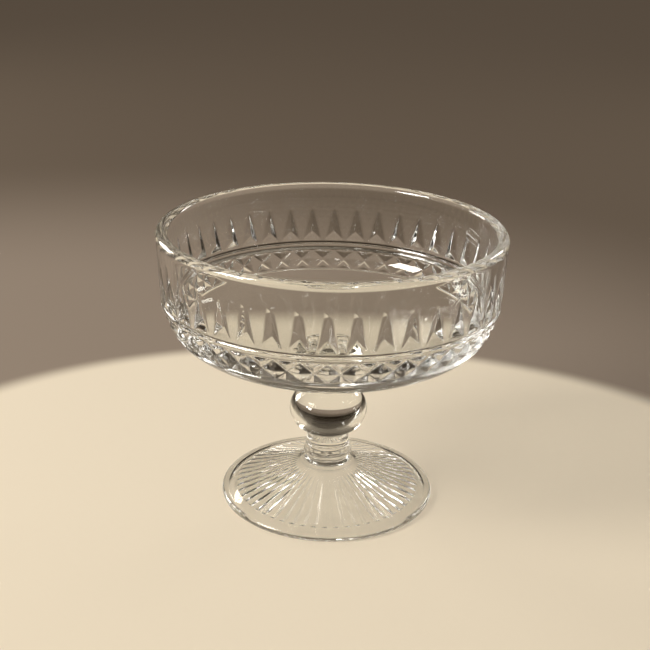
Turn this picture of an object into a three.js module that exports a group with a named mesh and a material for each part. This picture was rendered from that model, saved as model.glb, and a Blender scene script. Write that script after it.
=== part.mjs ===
// A footed dessert cup of clear pressed glass: bowl, upper neck, knop, lower neck and foot.
// The pieces are hot gobs stuck face to face on flat discs. Millimetres, +Z up, the cup's axis on Z,
// the table at Z = 0 and one spike of the pattern facing the front, -Y.
import * as THREE from "three";
import { mergeVertices } from "three/addons/utils/BufferGeometryUtils.js";

// Heights of the pieces, stacked from the table up.
const footHeight = 12;
const lowerNeckHeight = 10.6;
const knopHeight = 15.6;
const upperNeckHeight = 10.6;
const bowlHeight = 43.8;

// Foot: a shallow cone with a rounded edge, standing on a narrow flat ring round a fluted hollow.
const footRadius = 35.2;
const footEdge = 2.4;
const standingWidth = 1.2;
const hollowWallRun = 2.8;
const hollowWallRise = 1.4;
const footWall = 2.4;
const footSweep = 1.15;
const fluteCount = 52;
const fluteDepth = 0.45;
const fluteInnerRadius = 11.5;
const fluteRunOut = 1.6;

// Stem: a solid flattened ball between two necks, the lower one with a rounded collar over a cove.
const knopRadius = 12.8;
const knopRise = 9.3;
const waistRadius = 6.6;
const footSeatRadius = 8.2;
const coveRadius = 6.8;
const coveHeight = 2.1;
const collarRadius = 8;
const collarRound = 1.3;
const bowlSeatRadius = 9;

// Bowl: the outside and inside walls, the lip and the rounded bottom.
const rimRadius = 55;
const lipRadius = 2;
const shoulderRadius = 53.8;
const shoulderHeight = 23;
const shoulderWall = 4.2;
const floorThickness = 6.5;
const bottomFullness = 2.7;

// Pattern pressed into the bowl's outside: a row of diamonds, a plain ledge that steps out over them,
// a groove and a row of spikes on a narrow sill.
const patternCount = 42;
const diamondBase = 12.2;
const diamondHeight = 7.2;
const diamondDepth = 1.2;
const diamondShelf = 0.9;
const mitreEdge = 0.8;
const ledgeHeight = 1;
const ledgeStep = 0.6;
const grooveWidth = 1.2;
const grooveDepth = 0.5;
const spikeSill = 0.5;
const spikeHeight = 11;
const spikeNotch = 3.3;
const spikeDepth = 1.5;
const spikeTaper = 0.85;
const panelFoot = 1.6;

// Fineness of the round surfaces. Rings of the bowl's bottom within the coarse share have fewer columns.
const curveSteps = 6;
const stemColumns = 40;
const spikeLevels = [0.12, 0.4, 0.7];
const coarseShare = 0.5;

const fullTurn = 2 * Math.PI;
const front = -Math.PI / 2;

// The ball is cut by a flat disc where it is stuck to each neck: the lean of that cut and its radius.
const knopLean = Math.asin(knopHeight / 2 / knopRise);
const knopFlatRadius = knopRadius * Math.cos(knopLean);

const clearGlass = { color: 0xe9ebe2, roughness: 0.04, metalness: 0 };

// A closed surface of rings round the Z axis. Each point keeps its turn, from 0 at the front to 1.
class RingSurface {
  positions = [];
  triangles = [];
  turns = [];

  point(radius, turn, height) {
    const angle = front + turn * fullTurn;
    this.positions.push(radius * Math.cos(angle), radius * Math.sin(angle), height);
    return this.turns.push(turn) - 1;
  }

  ring(columns, radiusAt, heightAt) {
    return Array.from({ length: columns }, (unused, column) =>
      this.point(radiusAt(column), column / columns, heightAt(column)),
    );
  }

  plainRing(columns, radius, height) {
    return this.ring(columns, () => radius, () => height);
  }

  triangle(a, b, c) {
    this.triangles.push(a, b, c);
  }

  // Joins two rings, which may differ in their columns; the second comes later along the profile.
  band(first, second) {
    const turnOf = (ring, i) => this.turns[ring[i % ring.length]] + Math.floor(i / ring.length);
    let i = 0;
    let j = 0;
    while (i < first.length || j < second.length) {
      const a = first[i % first.length];
      const b = second[j % second.length];
      const firstLags = turnOf(first, i + 1) <= turnOf(second, j + 1) + Number.EPSILON;
      if (j === second.length || (i < first.length && firstLags)) {
        i += 1;
        this.triangle(a, first[i % first.length], b);
      } else {
        j += 1;
        this.triangle(a, second[j % second.length], b);
      }
    }
  }

  bands(rings) {
    rings.slice(1).forEach((ring, i) => this.band(rings[i], ring));
  }

  // Closes the surface from the axis to its first ring, and from its last ring to the axis.
  openFromAxis(height, ring) {
    const centre = this.point(0, 0, height);
    ring.forEach((p, i) => this.triangle(centre, ring[(i + 1) % ring.length], p));
  }

  closeToAxis(ring, height) {
    const centre = this.point(0, 0, height);
    ring.forEach((p, i) => this.triangle(p, ring[(i + 1) % ring.length], centre));
  }

  geometry() {
    const made = new THREE.BufferGeometry();
    made.setAttribute("position", new THREE.Float32BufferAttribute(this.positions, 3));
    made.setIndex(this.triangles);
    made.computeVertexNormals();
    return made;
  }
}

// A smooth turned piece from a profile path that starts and ends on the axis, with Y as its height.
function turned(profile) {
  const lathe = new THREE.LatheGeometry(profile.getPoints(curveSteps), stemColumns);
  lathe.rotateX(Math.PI / 2);
  lathe.deleteAttribute("normal");
  lathe.deleteAttribute("uv");
  const made = mergeVertices(lathe);
  made.computeVertexNormals();
  return made;
}

// Height of the foot's upper face at a radius: a slightly dished cone up to the lower neck.
function footTop(radius) {
  const edgeTop = footRadius - footEdge / 2;
  const rise = (edgeTop - radius) / (edgeTop - footSeatRadius);
  return footEdge + (footHeight - footEdge) * rise ** footSweep;
}

function makeFoot() {
  const surface = new RingSurface();
  const edgeRound = footEdge / 2;
  const standingOuter = footRadius - edgeRound;
  const standingInner = standingOuter - standingWidth;
  const hollowOuter = standingInner - hollowWallRun;
  const fluteOuter = hollowOuter - fluteRunOut;
  const fluteColumns = 2 * fluteCount;
  const hollowTop = (radius) => Math.max(footTop(radius) - footWall, hollowWallRise);

  // Flutes are cut up into the hollow's ceiling on every second column, and shallower nearer the axis.
  const fluteRing = (radius) =>
    surface.ring(
      fluteColumns,
      () => radius,
      (column) => hollowTop(radius) + (column % 2) * fluteDepth * (radius / fluteOuter),
    );
  const centreHeight = hollowTop(footSeatRadius);
  const hollowCentre = surface.plainRing(fluteCount, footSeatRadius, centreHeight);
  const fluteStart = fluteInnerRadius - fluteRunOut;
  const fluteMiddle = (fluteInnerRadius + fluteOuter) / 2;
  const hollow = [
    hollowCentre,
    surface.plainRing(fluteCount, fluteStart, hollowTop(fluteStart)),
    fluteRing(fluteInnerRadius),
    fluteRing(fluteMiddle),
    fluteRing(fluteOuter),
    surface.plainRing(fluteColumns, hollowOuter, hollowWallRise),
    surface.plainRing(fluteColumns, standingInner, 0),
    surface.plainRing(fluteColumns, standingOuter, 0),
  ];

  const edge = Array.from({ length: curveSteps }, (unused, i) => {
    const lean = ((i + 1) / curveSteps) * Math.PI;
    const radius = standingOuter + edgeRound * Math.sin(lean);
    return surface.plainRing(fluteColumns, radius, edgeRound * (1 - Math.cos(lean)));
  });

  const cone = Array.from({ length: curveSteps }, (unused, i) => {
    const radius = THREE.MathUtils.lerp(standingOuter, footSeatRadius, (i + 1) / curveSteps);
    return surface.plainRing(fluteCount, radius, footTop(radius));
  });

  surface.openFromAxis(centreHeight, hollowCentre);
  surface.bands([...hollow, ...edge, ...cone]);
  surface.closeToAxis(cone.at(-1), footHeight);
  return surface.geometry();
}

// The lower neck has a cove on the foot, then a collar with a rounded lower edge that narrows to the ball.
function makeLowerNeck() {
  const collarEdge = coveHeight + collarRound;
  const profile = new THREE.Path();
  profile.moveTo(0, 0);
  profile.lineTo(footSeatRadius, 0);
  profile.quadraticCurveTo(coveRadius, 0, coveRadius, coveHeight);
  profile.quadraticCurveTo(collarRadius, coveHeight, collarRadius, collarEdge);
  profile.quadraticCurveTo(waistRadius, (collarEdge + lowerNeckHeight) / 2, knopFlatRadius, lowerNeckHeight);
  profile.lineTo(0, lowerNeckHeight);
  return turned(profile);
}

function makeKnop() {
  const profile = new THREE.Path();
  profile.moveTo(0, 0);
  profile.lineTo(knopFlatRadius, 0);
  profile.absellipse(0, knopHeight / 2, knopRadius, knopRise, -knopLean, knopLean);
  profile.lineTo(0, knopHeight);
  return turned(profile);
}

// The upper neck is a plain waist that spreads under the bowl.
function makeUpperNeck() {
  const profile = new THREE.Path();
  profile.moveTo(0, 0);
  profile.lineTo(knopFlatRadius, 0);
  profile.quadraticCurveTo(waistRadius, upperNeckHeight / 2, bowlSeatRadius, upperNeckHeight);
  profile.lineTo(0, upperNeckHeight);
  return turned(profile);
}

// Radius of the bowl's uncut outside at a height above its base.
function bowlOutside(height) {
  const lipHeight = bowlHeight - lipRadius;
  if (height >= shoulderHeight) {
    return THREE.MathUtils.mapLinear(height, shoulderHeight, lipHeight, shoulderRadius, rimRadius);
  }
  const drop = (shoulderHeight - height) / shoulderHeight;
  return shoulderRadius * (1 - drop ** bottomFullness) ** (1 / bottomFullness);
}

// Radius of the bowl's rounded bottom, from the seat up to the ledge that steps out over it.
const bottomRadius = shoulderRadius - ledgeStep;

function bottomOutside(height) {
  return (bowlOutside(height) * bottomRadius) / shoulderRadius;
}

// The spikes: a pair of long facets that meet in a valley, and a small sloping facet at the foot of each.
// Returns the ring below them, on the sill, and the ring above them, at their tips.
function pressSpikes(surface, sillTop) {
  const step = 1 / patternCount;
  const tipHeight = sillTop + spikeHeight;
  const halfGap = panelFoot / 2 / (fullTurn * bowlOutside(sillTop));
  const halfBase = step / 2 - halfGap;
  const onWall = (turn, height) => surface.point(bowlOutside(height), turn, height);
  const valleyHeight = sillTop + spikeNotch;

  const spikes = Array.from({ length: patternCount }, (unused, k) => {
    const centre = k * step;
    const side = (sign) =>
      [...spikeLevels, 1].map((fall) =>
        onWall(centre + sign * halfBase * fall ** spikeTaper, tipHeight - fall * spikeHeight),
      );
    return {
      tip: onWall(centre, tipHeight),
      panelTop: onWall(centre + step / 2, tipHeight),
      valley: surface.point(bowlOutside(valleyHeight) - spikeDepth, centre, valleyHeight),
      base: onWall(centre, sillTop),
      left: side(-1),
      right: side(1),
    };
  });

  spikes.forEach((spike, k) => {
    const next = spikes[(k + 1) % patternCount];
    const rightEdge = [spike.tip, ...spike.right];
    const leftEdge = [spike.tip, ...spike.left];
    spike.right.forEach((p, i) => surface.triangle(spike.valley, p, rightEdge[i]));
    spike.left.forEach((p, i) => surface.triangle(spike.valley, leftEdge[i], p));
    surface.triangle(spike.valley, spike.base, spike.right.at(-1));
    surface.triangle(spike.valley, spike.left.at(-1), spike.base);

    // The smooth panel between this spike and the next one.
    spikeLevels.forEach((unused, i) => {
      surface.triangle(spike.right[i + 1], next.left[i + 1], next.left[i]);
      surface.triangle(spike.right[i + 1], next.left[i], spike.right[i]);
    });
    surface.triangle(spike.right[0], next.left[0], spike.panelTop);
    surface.triangle(spike.right[0], spike.panelTop, spike.tip);
    surface.triangle(next.left[0], next.tip, spike.panelTop);
  });

  return {
    below: spikes.flatMap((spike) => [spike.left.at(-1), spike.base, spike.right.at(-1)]),
    above: spikes.flatMap((spike) => [spike.tip, spike.panelTop]),
  };
}

// The diamonds: crossing mitres leave a row of four-sided points with half points above and below.
// Returns the rings of mitre bottoms that close the row.
function pressDiamonds(surface) {
  const step = 1 / patternCount;
  const top = diamondBase + diamondHeight;
  const middle = diamondBase + diamondHeight / 2;
  const raised = (turn, height) => surface.point(bottomOutside(height), turn, height);
  const sunk = (turn, height) => surface.point(bottomOutside(height) - diamondDepth, turn, height);

  const cells = Array.from({ length: patternCount }, (unused, k) => {
    const centre = k * step;
    const side = centre + step / 2;
    return {
      peak: raised(centre, middle),
      top: sunk(centre, top),
      bottom: sunk(centre, diamondBase),
      corner: sunk(side, middle),
      topGap: sunk(side, top),
      bottomGap: sunk(side, diamondBase),
      upperPoint: raised(side, top - diamondShelf),
      lowerPoint: raised(side, diamondBase + diamondShelf),
    };
  });

  // Fans the faces of one raised point over the mitre bottoms round it, given anticlockwise.
  const fan = (peak, around) =>
    around.forEach((p, i) => surface.triangle(peak, p, around[(i + 1) % around.length]));
  cells.forEach((cell, k) => {
    const next = cells[(k + 1) % patternCount];
    const before = cells[(k + patternCount - 1) % patternCount];
    fan(cell.peak, [cell.corner, cell.top, before.corner, cell.bottom]);
    fan(cell.upperPoint, [cell.corner, next.top, cell.topGap, cell.top]);
    fan(cell.lowerPoint, [cell.corner, cell.bottom, cell.bottomGap, next.bottom]);
  });

  return {
    below: cells.flatMap((cell) => [cell.bottom, cell.bottomGap]),
    above: cells.flatMap((cell) => [cell.top, cell.topGap]),
  };
}

// Rings of a rounded bottom of the given radius and depth under a level, between two shares of its curve.
function bottomRings(surface, radius, depth, level, from, to) {
  return Array.from({ length: curveSteps }, (unused, i) => {
    const lean = (THREE.MathUtils.lerp(from, to, (i + 1) / curveSteps) * Math.PI) / 2;
    const power = 2 / bottomFullness;
    const out = Math.sin(lean) ** power;
    const columns = out > coarseShare ? 2 * patternCount : patternCount;
    return surface.plainRing(columns, radius * out, level - depth * Math.cos(lean) ** power);
  });
}

function makeBowl() {
  const surface = new RingSurface();
  const columns = 2 * patternCount;
  const lipHeight = bowlHeight - lipRadius;
  const quarter = Math.PI / 2;

  // Outside, from the flat disc on the upper neck to the mitre under the diamonds.
  const plainTop = diamondBase - mitreEdge;
  const seat = surface.plainRing(patternCount, bowlSeatRadius, 0);
  const seatShare = Math.asin((bowlSeatRadius / bottomRadius) ** (bottomFullness / 2)) / quarter;
  const plainDrop = (shoulderHeight - plainTop) / shoulderHeight;
  const plainShare = Math.acos(plainDrop ** (bottomFullness / 2)) / quarter;
  const bottom = bottomRings(
    surface, bottomRadius, shoulderHeight, shoulderHeight, seatShare, plainShare,
  );

  // The pattern, with the ledge and the groove between its two rows.
  const diamonds = pressDiamonds(surface);
  const ledgeBottom = diamondBase + diamondHeight + mitreEdge;
  const ledgeTop = ledgeBottom + ledgeHeight;
  const grooveTop = ledgeTop + grooveWidth;
  const sunkRing = (height, depth) => surface.plainRing(columns, bowlOutside(height) - depth, height);
  const ledge = [
    sunkRing(ledgeBottom, 0),
    sunkRing(ledgeTop, 0),
    sunkRing(ledgeTop + grooveWidth / 2, grooveDepth),
    sunkRing(grooveTop, 0),
  ];
  const spikes = pressSpikes(surface, grooveTop + spikeSill);

  // The rounded lip, from the outside wall over to the inside.
  const lipMiddle = rimRadius - lipRadius;
  const lip = Array.from({ length: curveSteps + 1 }, (unused, i) => {
    const lean = (i / curveSteps) * Math.PI;
    const radius = lipMiddle + lipRadius * Math.cos(lean);
    return surface.plainRing(columns, radius, lipHeight + lipRadius * Math.sin(lean));
  });

  // The smooth inside, down to the floor.
  const insideRadius = shoulderRadius - shoulderWall;
  const inside = bottomRings(
    surface, insideRadius, shoulderHeight - floorThickness, shoulderHeight, 0, 1,
  ).reverse();

  surface.openFromAxis(0, seat);
  surface.bands([seat, ...bottom, diamonds.below]);
  surface.bands([diamonds.above, ...ledge, spikes.below]);
  surface.bands([spikes.above, ...lip, ...inside]);
  surface.closeToAxis(inside.at(-1), floorThickness);
  return surface.geometry();
}

const dessertCup = new THREE.Group();
let level = 0;

function stack(name, geometry, height) {
  const mesh = new THREE.Mesh(geometry, new THREE.MeshStandardMaterial(clearGlass));
  mesh.name = name;
  mesh.position.z = level;
  dessertCup.add(mesh);
  level += height;
}

stack("foot", makeFoot(), footHeight);
stack("lower_neck", makeLowerNeck(), lowerNeckHeight);
stack("knop", makeKnop(), knopHeight);
stack("upper_neck", makeUpperNeck(), upperNeckHeight);
stack("bowl", makeBowl(), bowlHeight);

export default dessertCup;
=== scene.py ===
"""A footed dessert cup of clear pressed glass: bowl, two necks, knop and foot, stuck face to face while hot.

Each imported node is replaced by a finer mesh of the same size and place, with softened pressed edges.
"""
import math

import bpy
import numpy as np
from mathutils import Matrix, Vector


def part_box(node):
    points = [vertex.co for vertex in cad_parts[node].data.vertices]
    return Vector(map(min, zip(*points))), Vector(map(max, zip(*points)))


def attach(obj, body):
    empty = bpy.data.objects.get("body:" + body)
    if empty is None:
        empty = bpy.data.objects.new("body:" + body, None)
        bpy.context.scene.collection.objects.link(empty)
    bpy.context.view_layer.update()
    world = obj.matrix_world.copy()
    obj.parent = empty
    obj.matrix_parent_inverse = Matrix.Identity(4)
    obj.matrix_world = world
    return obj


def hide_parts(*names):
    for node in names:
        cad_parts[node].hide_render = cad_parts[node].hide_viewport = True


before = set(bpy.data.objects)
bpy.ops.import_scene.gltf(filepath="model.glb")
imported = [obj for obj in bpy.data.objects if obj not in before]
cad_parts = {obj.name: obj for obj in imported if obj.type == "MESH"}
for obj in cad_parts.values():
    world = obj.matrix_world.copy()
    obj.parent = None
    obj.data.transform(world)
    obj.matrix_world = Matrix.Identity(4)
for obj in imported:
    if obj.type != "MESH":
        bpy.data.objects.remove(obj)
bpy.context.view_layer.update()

MM = 0.001
FULL_TURN = 2 * math.pi
FRONT = -math.pi / 2

# Bowl: wall, lip and rounded bottom. Heights are above the bowl's base.
LIP_RADIUS = 2 * MM
SHOULDER_RADIUS = 53.8 * MM
SHOULDER_HEIGHT = 23 * MM
SHOULDER_WALL = 4.2 * MM
FLOOR_THICKNESS = 6.5 * MM
BOTTOM_FULLNESS = 2.7

# Pattern on the bowl's outside: a row of diamonds, a plain ledge that steps out over them, a groove and
# a row of spikes on a narrow sill. A diamond's faces take a share of the way from its point to the bottom
# of a mitre and drop a share of the depth; the steeper mitre has the rest.
PATTERN_COUNT = 42
DIAMOND_BASE = 12.2 * MM
DIAMOND_HEIGHT = 7.2 * MM
DIAMOND_DEPTH = 1.2 * MM
DIAMOND_SHELF = 0.9 * MM
FACE_SHARE = 0.75
FACE_DROP = 0.65
MITRE_EDGE = 0.8 * MM
LEDGE_HEIGHT = 1.0 * MM
LEDGE_STEP = 0.6 * MM
GROOVE_WIDTH = 1.2 * MM
GROOVE_DEPTH = 0.5 * MM
SPIKE_SILL = 0.5 * MM
SPIKE_HEIGHT = 11 * MM
SPIKE_NOTCH = 3.3 * MM
SPIKE_DEPTH = 1.5 * MM
SPIKE_TAPER = 0.85
SPIKE_TIP_SHARE = 0.015
PANEL_FOOT = 1.6 * MM

# Stem.
WAIST_RADIUS = 6.6 * MM
FOOT_SEAT_RADIUS = 8.2 * MM
COVE_RADIUS = 6.8 * MM
COVE_HEIGHT = 2.1 * MM
COLLAR_RADIUS = 8 * MM
COLLAR_ROUND = 1.3 * MM
BOWL_SEAT_RADIUS = 9 * MM
KNOP_RISE = 9.3 * MM

# Foot.
FOOT_EDGE = 2.4 * MM
STANDING_WIDTH = 1.2 * MM
STANDING_ROUND = 0.15 * MM
HOLLOW_WALL_RUN = 2.8 * MM
HOLLOW_WALL_RISE = 1.4 * MM
FOOT_WALL = 2.4 * MM
FOOT_SWEEP = 1.15
FLUTE_COUNT = 52
FLUTE_DEPTH = 0.45 * MM
FLUTE_SHARPNESS = 0.97
FLUTE_INNER_RADIUS = 11.5 * MM
FLUTE_RUN_OUT = 1.6 * MM

# Fineness of the meshes: columns in half a pitch of the pattern, those of them across half a spike,
# plain columns in a pitch, columns in a flute, columns of the standing ring to a flute, columns of the stem
# and of the stage, and points on a curve.
HALF_COLUMNS = 12
SPIKE_COLUMNS = 9
PLAIN_COLUMNS = 6
FLUTE_COLUMNS = 14
STAND_COLUMNS = 4
STEM_COLUMNS = 98
STAGE_COLUMNS = 192
CURVE_STEPS = 24
TURN_TOLERANCE = 1e-9

# Rings of the foot's flutes and of the bowl's wall, and rows of the pattern, counted with both ends of each
# stretch; shares of the hollow's wall at which it has rings.
FLUTE_START_RINGS = 6
FLUTE_RINGS = 14
FLUTE_END_RINGS = 8
WALL_RINGS = 8
LOWER_EDGE_ROWS = 6
UPPER_EDGE_ROWS = 7
LEDGE_ROWS = 5
GROOVE_ROWS = 9
SPIKE_ROWS = 16
HOLLOW_WALL_SHARES = (0.04, 0.3, 0.6, 0.95)

# Glass: how far it bends light, the two faint tints that it drifts between and how finely, and the film of
# handling marks with its greatest roughness.
GLASS_IOR = 1.52
GLASS_TINT = (0.997, 0.998, 0.985, 1)
GLASS_DEEPER_TINT = (0.99, 0.994, 0.975, 1)
TINT_SCALE = 40
TINT_DETAIL = 2
FILM_SCALE = 180
FILM_DETAIL = 3
FILM_ROUGHNESS = 0.02

# Camera: focal length in pixels of the square picture, place, tilt and roll.
PICTURE_SIDE = 650
FOCAL_PIXELS = 1200
SENSOR_WIDTH = 36
CLIP_START = 10 * MM
EYE = Vector((-1.7, -359.3, 200.3)) * MM
TILT_DOWN = 0.374
ROLL = -0.022
SWING = math.radians(0.86)

# Stage: an oval pale floor, whose colour is a painted pool of light, and the taupe backdrop round it,
# whose colour is painted shade that is darker further out, each given by its half length and half width,
# its colours and the shares of its reach where one fades to the other; a dim surround that is lighter
# overhead and at the right, given by the spans of its two fades.
FLOOR_REACH = (0.17, 0.13)
FLOOR_DROP = 0.05 * MM
FLOOR_PAINTED_LIGHT_POOL = (0.78, 0.67, 0.51, 1)
FLOOR_FADE = (0.91, 1.0)
BACKDROP_REACH = (4.0, 4.0)
BACKDROP_DROP = 2 * MM
BACKDROP_SHIFT = -0.12
BACKDROP_PAINTED_SHADE = (0.27, 0.212, 0.162, 1)
BACKDROP_FAR = (0.135, 0.102, 0.073, 1)
BACKDROP_FADE = (0.05, 0.115)
STAGE_GLOW = 0.6
STAGE_ROUGHNESS = 0.9
STAGE_SPECULAR = 0.1
SURROUND = (0.014, 0.009, 0.005, 1)
LEFT_WALL = (0.03, 0.02, 0.012, 1)
RIGHT_WALL = (0.3, 0.255, 0.2, 1)
WALL_FADE = (0.35, 0.8)
SIDE_FADE = (-0.6, 0.6)

# Softboxes: the place, the size and the power of each, in metres and watts. All are turned to the bowl.
BOWL_MIDDLE = Vector((0, 0, 60)) * MM
LAMP_COLOUR = (1, 0.97, 0.91)
SOFTBOXES = {
    "key": ((-0.75, -0.31, 0.62), (0.36, 0.36), 13),
    "back": ((0.55, 0.6, 0.4), (0.1, 0.25), 1.1),
    "window": ((-0.75, 0.6, 0.3), (0.3, 0.3), 3.5),
}

# Bounces that light needs to pass all the walls of the cup.
GLASS_BOUNCES = 32
GLOSSY_BOUNCES = 16


class RingMesh:
    """A closed mesh of rings round the Z axis, joined in the order of a profile that runs up the outside."""

    def __init__(self):
        self.points = []
        self.turns = []
        self.faces = []
        self.joint_faces = set()

    def ring(self, turns, radius, height):
        """Adds a ring and returns its points; radius and height may change round it."""
        turns = np.asarray(turns, float)
        angles = FRONT + turns * FULL_TURN
        radius = np.broadcast_to(radius, turns.shape)
        height = np.broadcast_to(height, turns.shape)
        first = len(self.points)
        xyz = np.stack([radius * np.cos(angles), radius * np.sin(angles), height], axis=1)
        self.points.extend(map(tuple, xyz))
        self.turns.extend(turns)
        return list(range(first, first + len(turns)))

    def plain_ring(self, columns, radius, height):
        return self.ring(np.arange(columns) / columns, radius, height)

    def band(self, first, second, falling=None):
        """Joins two rings. Where falling is given, it says which way each four-sided cell is split."""
        if len(first) != len(second):
            self.zip_band(first, second)
            return
        count = len(first)
        for i in range(count):
            a, b = first[i], first[(i + 1) % count]
            c, d = second[(i + 1) % count], second[i]
            if falling is None:
                self.faces.append((a, b, c, d))
            elif falling[i]:
                self.faces.extend([(a, b, d), (b, c, d)])
            else:
                self.faces.extend([(a, b, c), (a, c, d)])

    def zip_band(self, first, second):
        """Joins rings that differ in their columns with triangles."""
        i = j = 0
        while i < len(first) or j < len(second):
            a, b = first[i % len(first)], second[j % len(second)]
            first_lags = self.turn_of(first, i + 1) <= self.turn_of(second, j + 1) + TURN_TOLERANCE
            if j == len(second) or (i < len(first) and first_lags):
                i += 1
                self.faces.append((a, first[i % len(first)], b))
            else:
                j += 1
                self.faces.append((a, second[j % len(second)], b))

    def turn_of(self, ring, i):
        return self.turns[ring[i % len(ring)]] + i // len(ring)

    def bands(self, rings):
        for first, second in zip(rings, rings[1:]):
            self.band(first, second)

    def close(self, ring, height, faces_up, joint):
        """Closes the surface between a ring and the axis. A joint is a face stuck to the next piece."""
        centre = len(self.points)
        self.points.append((0, 0, height))
        self.turns.append(0)
        for a, b in zip(ring, ring[1:] + ring[:1]):
            if joint:
                self.joint_faces.add(len(self.faces))
            self.faces.append((a, b, centre) if faces_up else (b, a, centre))

    def build(self, name, glass, joint_glass):
        mesh = bpy.data.meshes.new(name)
        mesh.from_pydata(self.points, [], self.faces)
        mesh.materials.append(glass)
        mesh.materials.append(joint_glass)
        for polygon in mesh.polygons:
            polygon.use_smooth = polygon.index not in self.joint_faces
            polygon.material_index = int(polygon.index in self.joint_faces)
        piece = bpy.data.objects.new(name, mesh)
        bpy.context.scene.collection.objects.link(piece)
        return piece


def curve(start, bend, end):
    """Points of a quadratic curve after its start, as (radius, height)."""
    share = np.linspace(0, 1, CURVE_STEPS + 1)[1:, None]
    start, bend, end = (np.array(p, float) for p in (start, bend, end))
    return (1 - share) ** 2 * start + 2 * share * (1 - share) * bend + share**2 * end


def turned(profile):
    """A solid turned from a profile of (radius, height) points; both its ends are stuck to a neighbour."""
    solid = RingMesh()
    rings = [solid.plain_ring(STEM_COLUMNS, radius, height) for radius, height in profile]
    solid.bands(rings)
    solid.close(rings[0], profile[0][1], faces_up=False, joint=True)
    solid.close(rings[-1], profile[-1][1], faces_up=True, joint=True)
    return solid


def node_span(node):
    """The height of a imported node's base, and the node's height and radius."""
    low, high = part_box(node)
    return low.z, high.z - low.z, high.x


# The knop is a flattened ball, cut by a disc where it meets each neck.
knop_base, knop_height, knop_radius = node_span("knop")
knop_lean = math.asin(knop_height / 2 / KNOP_RISE)
knop_flat = knop_radius * math.cos(knop_lean)


def make_knop():
    leans = np.linspace(-knop_lean, knop_lean, 2 * CURVE_STEPS + 1)
    middle = knop_base + knop_height / 2
    return turned([(knop_radius * math.cos(a), middle + KNOP_RISE * math.sin(a)) for a in leans])


def make_lower_neck():
    base, height, _ = node_span("lower_neck")
    top = base + height
    cove_top = base + COVE_HEIGHT
    collar = cove_top + COLLAR_ROUND
    seat = (FOOT_SEAT_RADIUS, base)
    cove = curve(seat, (COVE_RADIUS, base), (COVE_RADIUS, cove_top))
    edge = curve(cove[-1], (COLLAR_RADIUS, cove_top), (COLLAR_RADIUS, collar))
    waist = curve(edge[-1], (WAIST_RADIUS, (collar + top) / 2), (knop_flat, top))
    return turned([seat, *cove, *edge, *waist])


def make_upper_neck():
    base, height, _ = node_span("upper_neck")
    top = base + height
    seat = (knop_flat, base)
    return turned([seat, *curve(seat, (WAIST_RADIUS, base + height / 2), (BOWL_SEAT_RADIUS, top))])


foot_base, foot_height, foot_radius = node_span("foot")


def foot_top(radius):
    """Height of the foot's upper face: a slightly dished cone up to the lower neck."""
    edge_top = foot_radius - FOOT_EDGE / 2
    rise = (edge_top - radius) / (edge_top - FOOT_SEAT_RADIUS)
    return FOOT_EDGE + (foot_height - FOOT_EDGE) * max(rise, 0) ** FOOT_SWEEP


def make_foot():
    solid = RingMesh()
    columns = FLUTE_COUNT * FLUTE_COLUMNS
    turns = np.arange(columns) / columns
    wave = FLUTE_SHARPNESS * np.cos(FULL_TURN * FLUTE_COUNT * turns)
    flute = (1 - np.arcsin(wave) / math.asin(FLUTE_SHARPNESS)) / 2
    edge_round = FOOT_EDGE / 2
    standing_outer = foot_radius - edge_round
    standing_inner = standing_outer - STANDING_WIDTH
    hollow_outer = standing_inner - HOLLOW_WALL_RUN
    flute_outer = hollow_outer - FLUTE_RUN_OUT
    flute_start = FLUTE_INNER_RADIUS - FLUTE_RUN_OUT

    def ceiling(radius):
        return max(foot_top(radius) - FOOT_WALL, HOLLOW_WALL_RISE)

    def flute_ring(radius):
        """Flutes cut up into the hollow's ceiling, deeper outwards, with a rounded outer end."""
        end = np.clip((radius - flute_outer) / FLUTE_RUN_OUT, 0, 1)
        begin = np.clip((radius - flute_start) / FLUTE_RUN_OUT, 0, 1)
        depth = FLUTE_DEPTH * radius / flute_outer * begin * np.clip(flute - end**2, 0, 1)
        return solid.ring(turns, radius, foot_base + ceiling(radius) + depth)

    flute_radii = [
        *np.linspace(FOOT_SEAT_RADIUS, FLUTE_INNER_RADIUS, FLUTE_START_RINGS),
        *np.linspace(FLUTE_INNER_RADIUS, flute_outer, FLUTE_RINGS)[1:],
        *np.linspace(flute_outer, hollow_outer, FLUTE_END_RINGS)[1:],
    ]
    flutes = [flute_ring(radius) for radius in flute_radii]
    hollow_wall = [
        (hollow_outer + HOLLOW_WALL_RUN * share, HOLLOW_WALL_RISE * (1 - share))
        for share in HOLLOW_WALL_SHARES
    ]
    standing_ring = [
        (standing_inner, 0),
        (standing_inner + STANDING_ROUND, 0),
        (standing_outer - STANDING_ROUND, 0),
    ]
    stand_columns = STAND_COLUMNS * FLUTE_COUNT
    stand = [
        solid.plain_ring(stand_columns, radius, foot_base + height)
        for radius, height in hollow_wall + standing_ring
    ]
    edge = [
        solid.plain_ring(
            stand_columns,
            standing_outer + edge_round * math.sin(lean),
            foot_base + edge_round * (1 - math.cos(lean)),
        )
        for lean in np.linspace(0, math.pi, CURVE_STEPS // 2 + 1)
    ]
    cone = [
        solid.plain_ring(stand_columns, radius, foot_base + foot_top(radius))
        for radius in np.linspace(standing_outer, FOOT_SEAT_RADIUS, CURVE_STEPS + 1)[1:]
    ]
    solid.close(flutes[0], foot_base + ceiling(FOOT_SEAT_RADIUS), faces_up=False, joint=False)
    solid.bands([*flutes, *stand, *edge, *cone])
    solid.close(cone[-1], foot_base + foot_height, faces_up=True, joint=True)
    return solid


bowl_base, bowl_height, rim_radius = node_span("bowl")
lip_height = bowl_height - LIP_RADIUS


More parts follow.
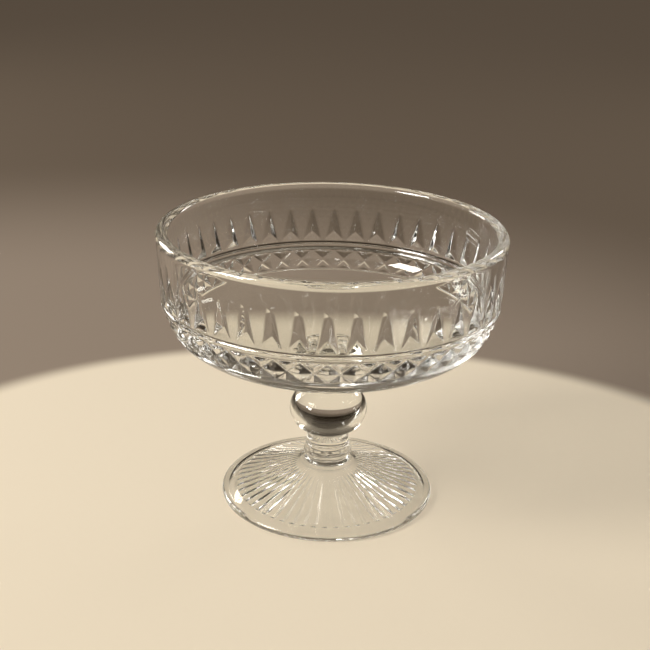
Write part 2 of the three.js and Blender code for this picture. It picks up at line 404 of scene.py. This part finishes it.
def bowl_outside(height):
    """Radius of the bowl's uncut outside at a height above its base."""
    if height >= SHOULDER_HEIGHT:
        share = (height - SHOULDER_HEIGHT) / (lip_height - SHOULDER_HEIGHT)
        return SHOULDER_RADIUS + (rim_radius - SHOULDER_RADIUS) * share
    drop = (SHOULDER_HEIGHT - height) / SHOULDER_HEIGHT
    return SHOULDER_RADIUS * (1 - drop**BOTTOM_FULLNESS) ** (1 / BOTTOM_FULLNESS)


HALF_PITCH = 0.5 / PATTERN_COUNT
EVEN_COLUMNS = np.linspace(0, HALF_PITCH, HALF_COLUMNS + 1)


def diamond_rows():
    """Rows (height, columns, depth, falling) of the diamonds; columns and depth cover half a pitch."""
    half_height = DIAMOND_HEIGHT / 2
    middle = DIAMOND_BASE + half_height
    across = EVEN_COLUMNS / HALF_PITCH
    apex = 1 - DIAMOND_SHELF / half_height
    rows = []
    for height in np.linspace(DIAMOND_BASE, DIAMOND_BASE + DIAMOND_HEIGHT, 2 * HALF_COLUMNS + 1):
        away = abs(height - middle) / half_height
        whole_point = across + away
        beyond = np.clip(whole_point - 1, 0, 1)
        shelf = (1 - away) * half_height / DIAMOND_SHELF
        half_point = 1 - np.minimum(beyond / apex, shelf)
        fall = np.where(whole_point <= 1, whole_point, half_point)
        depth = DIAMOND_DEPTH * np.interp(fall, [0, FACE_SHARE, 1], [0, FACE_DROP, 1])
        rows.append((height, EVEN_COLUMNS, step_in(height) + depth, height >= middle))
    return rows


def step_in(height):
    """Depth of the rounded bottom under the ledge's outside."""
    return bowl_outside(height) * LEDGE_STEP / SHOULDER_RADIUS


def even_rows(heights, depths, columns):
    """Rows whose depth is the same all round."""
    even = np.ones_like(EVEN_COLUMNS)
    return [(height, columns(height), depth * even, True) for height, depth in zip(heights, depths)]


def spike_rows(sill_top):
    """Rows of the spikes: two long facets that meet in a valley, and a sloping facet at the foot of each."""
    half_base = HALF_PITCH - PANEL_FOOT / 2 / (FULL_TURN * bowl_outside(sill_top))
    run = SPIKE_HEIGHT - SPIKE_NOTCH
    # The first rows are placed so that the lower facet's edges run from corner to corner of the cells.
    foot_rows = [
        SPIKE_HEIGHT * SPIKE_NOTCH * j / (run * SPIKE_COLUMNS + SPIKE_NOTCH * j)
        for j in range(SPIKE_COLUMNS)
    ]
    tip = SPIKE_HEIGHT * (1 - SPIKE_TIP_SHARE)
    rows = []
    for rise in [*foot_rows, *np.linspace(SPIKE_NOTCH, tip, SPIKE_ROWS)]:
        fall = 1 - rise / SPIKE_HEIGHT
        outline = half_base * fall**SPIKE_TAPER
        spike = np.linspace(0, outline, SPIKE_COLUMNS + 1)
        panel = np.linspace(outline, HALF_PITCH, HALF_COLUMNS - SPIKE_COLUMNS + 1)[1:]
        columns = np.concatenate([spike, panel])
        side = SPIKE_DEPTH * (SPIKE_HEIGHT - rise) / run * np.clip(1 - columns / outline, 0, 1)
        depth = np.minimum(side, SPIKE_DEPTH * rise / SPIKE_NOTCH)
        rows.append((sill_top + rise, columns, depth, True))
    return rows


def pattern_rows():
    """All rows of the pattern from the plain bottom to just above the spikes, with softened edges."""
    mitre_top = DIAMOND_BASE + DIAMOND_HEIGHT
    ledge_bottom = mitre_top + MITRE_EDGE
    ledge_top = ledge_bottom + LEDGE_HEIGHT
    groove_top = ledge_top + GROOVE_WIDTH
    sill_top = groove_top + SPIKE_SILL
    spikes = spike_rows(sill_top)

    def columns(height):
        share = np.clip((height - ledge_bottom) / (sill_top - ledge_bottom), 0, 1)
        return EVEN_COLUMNS + (spikes[0][1] - EVEN_COLUMNS) * share

    plain_top = DIAMOND_BASE - MITRE_EDGE
    lower_edge = np.linspace(plain_top, DIAMOND_BASE, LOWER_EDGE_ROWS)[:-1]
    upper_edge = np.linspace(mitre_top, ledge_bottom, UPPER_EDGE_ROWS)[1:]
    ledge = np.linspace(ledge_bottom, ledge_top, LEDGE_ROWS)[1:]
    groove = np.linspace(ledge_top, groove_top, GROOVE_ROWS)[1:]
    sill = (groove_top + sill_top) / 2
    lower_edge_depth = step_in(plain_top) + DIAMOND_DEPTH * np.linspace(0, 1, LOWER_EDGE_ROWS)[:-1]
    upper_edge_depth = (step_in(mitre_top) + DIAMOND_DEPTH) * np.linspace(1, 0, UPPER_EDGE_ROWS)[1:]
    groove_depth = GROOVE_DEPTH * (1 - np.abs(np.linspace(-1, 1, GROOVE_ROWS)[1:]))
    below = even_rows(lower_edge, lower_edge_depth, columns)
    between = even_rows(
        [*upper_edge, *ledge, *groove, sill],
        [*upper_edge_depth, *np.zeros_like(ledge), *groove_depth, 0],
        columns,
    )
    above = even_rows([spikes[-1][0] + MITRE_EDGE], [0], lambda height: spikes[-1][1])
    rows = [*below, *diamond_rows(), *between, *spikes, *above]

    depth = np.pad([row[2] for row in rows], 1, mode="reflect")
    depth = (depth[:, :-2] + 2 * depth[:, 1:-1] + depth[:, 2:]) / 4
    depth = (depth[:-2] + 2 * depth[1:-1] + depth[2:]) / 4
    return [(row[0], row[1], soft, row[3]) for row, soft in zip(rows, depth)]


def all_round(half, mirror_sign):
    """Repeats half a pitch of values, mirrored, round the whole bowl, without the offsets of the pitches."""
    pitch = np.concatenate([half, mirror_sign * half[-2:0:-1]])
    return np.tile(pitch, PATTERN_COUNT)


def pattern_turns(columns):
    pitch_starts = np.repeat(np.arange(PATTERN_COUNT), 2 * HALF_COLUMNS)
    left_half = np.tile(np.arange(2 * HALF_COLUMNS) > HALF_COLUMNS, PATTERN_COUNT)
    return (pitch_starts + left_half) / PATTERN_COUNT + all_round(columns, -1)


def bottom_curve(radius, depth, level, shares):
    """Points (radius, height) of a rounded bottom under a level, at shares of its quarter curve."""
    leans = np.asarray(shares) * math.pi / 2
    power = 2 / BOTTOM_FULLNESS
    return [(radius * math.sin(a) ** power, level - depth * math.cos(a) ** power) for a in leans]


def make_bowl():
    solid = RingMesh()
    plain_columns = PLAIN_COLUMNS * PATTERN_COUNT
    quarter = math.pi / 2

    def plain_rings(profile):
        return [solid.plain_ring(plain_columns, radius, bowl_base + height) for radius, height in profile]

    # Outside, from the disc on the upper neck to the pattern.
    rows = pattern_rows()
    plain_drop = (SHOULDER_HEIGHT - rows[0][0]) / SHOULDER_HEIGHT
    bottom_radius = SHOULDER_RADIUS - LEDGE_STEP
    first_share = math.asin((BOWL_SEAT_RADIUS / bottom_radius) ** (BOTTOM_FULLNESS / 2)) / quarter
    last_share = math.acos(plain_drop ** (BOTTOM_FULLNESS / 2)) / quarter
    shares = np.linspace(first_share, last_share, CURVE_STEPS + 1)[1:-1]
    seat = [(BOWL_SEAT_RADIUS, 0)]
    bottom = plain_rings(
        seat + bottom_curve(bottom_radius, SHOULDER_HEIGHT, SHOULDER_HEIGHT, shares)
    )

    # The pattern, on finer columns.
    right_half = np.tile(np.arange(2 * HALF_COLUMNS) < HALF_COLUMNS, PATTERN_COUNT)
    pattern = []
    for height, columns, depth, _ in rows:
        radius = bowl_outside(height) - all_round(depth, 1)
        pattern.append(solid.ring(pattern_turns(columns), radius, bowl_base + height))
    for (first, second), row in zip(zip(pattern, pattern[1:]), rows):
        solid.band(first, second, right_half == row[3])

    # The plain band, the lip and the smooth inside down to the floor.
    band = [
        (bowl_outside(height), height)
        for height in np.linspace(rows[-1][0], lip_height, WALL_RINGS)[1:]
    ]
    lip = [
        (rim_radius - LIP_RADIUS + LIP_RADIUS * math.cos(lean), lip_height + LIP_RADIUS * math.sin(lean))
        for lean in np.linspace(0, math.pi, CURVE_STEPS // 2 + 1)[1:]
    ]
    lip_inside = lip[-1][0]
    inside_radius = SHOULDER_RADIUS - SHOULDER_WALL
    wall = [
        (
            lip_inside + (inside_radius - lip_inside) * share,
            lip_height + (SHOULDER_HEIGHT - lip_height) * share,
        )
        for share in np.linspace(0, 1, WALL_RINGS)[1:-1]
    ]
    floor = bottom_curve(
        inside_radius,
        SHOULDER_HEIGHT - FLOOR_THICKNESS,
        SHOULDER_HEIGHT,
        np.linspace(1, 0, CURVE_STEPS + 1)[:-1],
    )
    upper = plain_rings([*band, *lip, *wall, *floor])

    solid.close(bottom[0], bowl_base, faces_up=False, joint=True)
    solid.bands([*bottom, pattern[0]])
    solid.bands([pattern[-1], *upper])
    solid.close(upper[-1], bowl_base + FLOOR_THICKNESS, faces_up=True, joint=False)
    return solid


def principled(name):
    """A new node material, and its tree and principled shader."""
    material = bpy.data.materials.new(name)
    material.use_nodes = True
    tree = material.node_tree
    return material, tree, tree.nodes["Principled BSDF"]


def noise(tree, scale, detail):
    """A noise texture in the object's own coordinates."""
    coordinates = tree.nodes.new("ShaderNodeTexCoord")
    texture = tree.nodes.new("ShaderNodeTexNoise")
    texture.inputs["Scale"].default_value = scale
    texture.inputs["Detail"].default_value = detail
    tree.links.new(coordinates.outputs["Object"], texture.inputs["Vector"])
    return texture.outputs["Fac"]


def mapped(tree, value, low, high):
    """A value from 0 to 1, spread between low and high."""
    node = tree.nodes.new("ShaderNodeMapRange")
    node.inputs["To Min"].default_value = low
    node.inputs["To Max"].default_value = high
    tree.links.new(value, node.inputs["Value"])
    return node.outputs["Result"]


def blended(tree, value, first, second):
    """A colour between two, by a value from 0 to 1."""
    node = tree.nodes.new("ShaderNodeMix")
    node.data_type = "RGBA"
    for socket, colour in ((node.inputs["A"], first), (node.inputs["B"], second)):
        if isinstance(colour, tuple):
            socket.default_value = colour
        else:
            tree.links.new(colour, socket)
    tree.links.new(value, node.inputs["Factor"])
    return node.outputs["Result"]


def faded(tree, value, span):
    """A value that rises smoothly from 0 to 1 over a span of another."""
    node = tree.nodes.new("ShaderNodeMapRange")
    node.interpolation_type = "SMOOTHSTEP"
    node.inputs["From Min"].default_value, node.inputs["From Max"].default_value = span
    tree.links.new(value, node.inputs["Value"])
    return node.outputs["Result"]


def clear_glass(name):
    """Clear soda glass: a faint tint that drifts, and a film of handling marks."""
    material, tree, shader = principled(name)
    shader.inputs["Transmission Weight"].default_value = 1
    shader.inputs["IOR"].default_value = GLASS_IOR
    tint = blended(tree, noise(tree, TINT_SCALE, TINT_DETAIL), GLASS_TINT, GLASS_DEEPER_TINT)
    tree.links.new(tint, shader.inputs["Base Color"])
    film = mapped(tree, noise(tree, FILM_SCALE, FILM_DETAIL), 0, FILM_ROUGHNESS)
    tree.links.new(film, shader.inputs["Roughness"])
    return material


def joint_glass():
    """The inside of a fused joint, which light passes as if nothing were there."""
    material, _, shader = principled("fused_joint")
    shader.inputs["Alpha"].default_value = 0
    return material


def add_piece(solid, node, glass, joint):
    piece = solid.build(node + "_glass", glass, joint)
    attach(piece, "root")
    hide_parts(node)


def make_cup():
    joint = joint_glass()
    stem = clear_glass("stem_glass")
    add_piece(make_bowl(), "bowl", clear_glass("bowl_glass"), joint)
    add_piece(make_upper_neck(), "upper_neck", stem, joint)
    add_piece(make_knop(), "knop", stem, joint)
    add_piece(make_lower_neck(), "lower_neck", stem, joint)
    add_piece(make_foot(), "foot", clear_glass("foot_glass"), joint)


def show_plainly(tree, shader, colour):
    """Lets the camera and the glass see a share of the stage's colour as it is written."""
    rays = tree.nodes.new("ShaderNodeLightPath")
    seen = rays.outputs["Is Camera Ray"]
    for kind in ("Is Glossy Ray", "Is Transmission Ray"):
        either = tree.nodes.new("ShaderNodeMath")
        either.operation = "MAXIMUM"
        tree.links.new(seen, either.inputs[0])
        tree.links.new(rays.outputs[kind], either.inputs[1])
        seen = either.outputs["Value"]
    glow = tree.nodes.new("ShaderNodeEmission")
    tree.links.new(colour, glow.inputs["Color"])
    mix = tree.nodes.new("ShaderNodeMixShader")
    tree.links.new(mapped(tree, seen, 0, STAGE_GLOW), mix.inputs["Fac"])
    tree.links.new(shader.outputs["BSDF"], mix.inputs[1])
    tree.links.new(glow.outputs["Emission"], mix.inputs[2])
    tree.links.new(mix.outputs["Shader"], tree.nodes["Material Output"].inputs["Surface"])


def add_stage(name, reach, shift, drop, first, second, fade):
    """A level oval of stage, in one colour that fades to another outwards from a point shifted along X."""
    turns = np.arange(STAGE_COLUMNS) * FULL_TURN / STAGE_COLUMNS
    mesh = bpy.data.meshes.new(name)
    points = [(reach[0] * math.cos(a), reach[1] * math.sin(a), 0) for a in turns]
    mesh.from_pydata(points, [], [list(range(STAGE_COLUMNS))])
    material, tree, shader = principled(name)
    shader.inputs["Roughness"].default_value = STAGE_ROUGHNESS
    shader.inputs["Specular IOR Level"].default_value = STAGE_SPECULAR
    coordinates = tree.nodes.new("ShaderNodeTexCoord")
    distance = tree.nodes.new("ShaderNodeVectorMath")
    distance.operation = "LENGTH"
    share = tree.nodes.new("ShaderNodeVectorMath")
    share.operation = "DIVIDE"
    share.inputs[1].default_value = (*reach, 1)
    tree.links.new(coordinates.outputs["Object"], share.inputs[0])
    tree.links.new(share.outputs["Vector"], distance.inputs[0])
    colour = blended(tree, faded(tree, distance.outputs["Value"], fade), first, second)
    tree.links.new(colour, shader.inputs["Base Color"])
    show_plainly(tree, shader, colour)
    mesh.materials.append(material)
    stage = bpy.data.objects.new(name, mesh)
    stage.location = (shift, 0, -drop)
    bpy.context.scene.collection.objects.link(stage)


def make_stage():
    # The floor's pale oval is a painted pool of light, and the taupe backdrop round it is painted shade.
    add_stage("floor", FLOOR_REACH, 0, FLOOR_DROP, FLOOR_PAINTED_LIGHT_POOL, BACKDROP_PAINTED_SHADE, FLOOR_FADE)
    add_stage(
        "backdrop",
        BACKDROP_REACH,
        BACKDROP_SHIFT,
        BACKDROP_DROP,
        BACKDROP_PAINTED_SHADE,
        BACKDROP_FAR,
        BACKDROP_FADE,
    )


def add_softbox(name, place, size, power):
    lamp = bpy.data.lights.new(name, "AREA")
    lamp.shape = "RECTANGLE"
    lamp.size, lamp.size_y = size
    lamp.energy = power
    lamp.color = LAMP_COLOUR
    box = bpy.data.objects.new(name, lamp)
    box.location = place
    box.rotation_euler = (BOWL_MIDDLE - Vector(place)).to_track_quat("-Z", "Y").to_euler()
    bpy.context.scene.collection.objects.link(box)


def make_lamps():
    for name, (place, size, power) in SOFTBOXES.items():
        add_softbox(name, place, size, power)


def make_surround():
    world = bpy.data.worlds.new("surround")
    world.use_nodes = True
    tree = world.node_tree
    coordinates = tree.nodes.new("ShaderNodeTexCoord")
    direction = tree.nodes.new("ShaderNodeSeparateXYZ")
    tree.links.new(coordinates.outputs["Generated"], direction.inputs["Vector"])
    side = blended(tree, faded(tree, direction.outputs["X"], SIDE_FADE), LEFT_WALL, RIGHT_WALL)
    colour = blended(tree, faded(tree, direction.outputs["Z"], WALL_FADE), SURROUND, side)
    tree.links.new(colour, tree.nodes["Background"].inputs["Color"])
    bpy.context.scene.world = world


def make_camera():
    data = bpy.data.cameras.new("camera")
    data.sensor_width = SENSOR_WIDTH
    data.lens = FOCAL_PIXELS / PICTURE_SIDE * SENSOR_WIDTH
    data.clip_start = CLIP_START
    forward = Vector((0, math.cos(TILT_DOWN), -math.sin(TILT_DOWN)))
    level_right = Vector((1, 0, 0))
    level_down = forward.cross(level_right)
    right = level_right * math.cos(ROLL) + level_down * math.sin(ROLL)
    down = level_down * math.cos(ROLL) - level_right * math.sin(ROLL)
    turn = Matrix((right, -down, -forward)).transposed().to_4x4()
    camera = bpy.data.objects.new("camera", data)
    camera.matrix_world = Matrix.Rotation(SWING, 4, "Z") @ Matrix.Translation(EYE) @ turn
    scene = bpy.context.scene
    scene.collection.objects.link(camera)
    scene.camera = camera


def set_light_paths():
    """Plain colours, and enough bounces for clear glass."""
    scene = bpy.context.scene
    scene.view_settings.view_transform = "Standard"
    scene.cycles.max_bounces = GLASS_BOUNCES
    scene.cycles.transmission_bounces = GLASS_BOUNCES
    scene.cycles.glossy_bounces = GLOSSY_BOUNCES
    scene.cycles.transparent_max_bounces = GLASS_BOUNCES


make_camera()
make_cup()
make_stage()
make_lamps()
make_surround()
set_light_paths()
